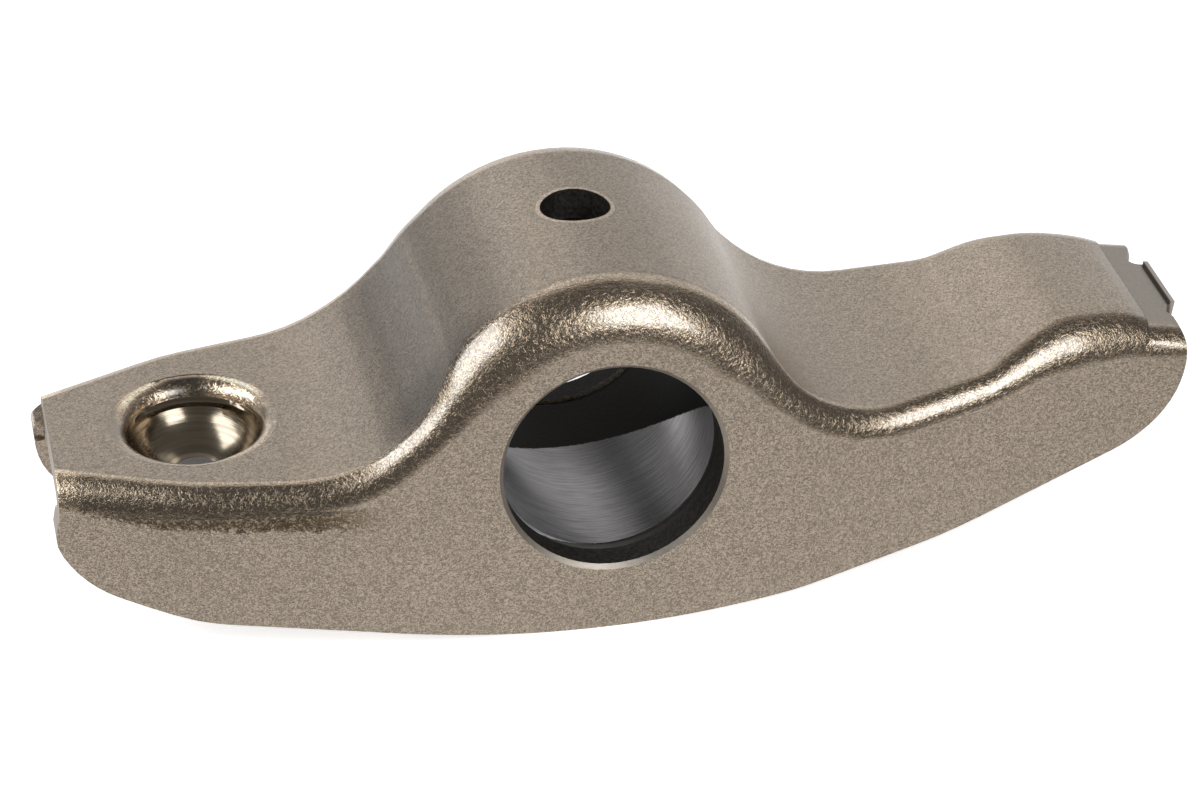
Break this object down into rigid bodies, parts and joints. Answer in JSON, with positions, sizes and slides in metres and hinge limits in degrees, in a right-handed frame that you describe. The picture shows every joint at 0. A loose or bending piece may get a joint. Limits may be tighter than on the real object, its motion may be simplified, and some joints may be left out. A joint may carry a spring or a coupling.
{
  "type": "rocker arm",
  "caption": "Deep-formed steel rocker arm with a domed middle over a sleeved shaft bore, a ball cup at the pushrod end and a rounded nose at the valve end.",
  "frame": {"origin": "middle of the shaft bore", "axes": "+X from the bore towards the valve end, +Y along the shaft, +Z to the side that the dome, the cup's mouth and the nose face"},
  "size_m": [0.1052, 0.034, 0.0336],
  "materials": {
    "body_steel": "satin, surface-hardened, fine pebbled texture",
    "sleeve_steel": "bored, fine lines round the bore"
  },
  "bodies": {
    "root": {"rocker_body": "body_steel", "bearing_sleeve": "sleeve_steel"}
  },
  "joints": []
}
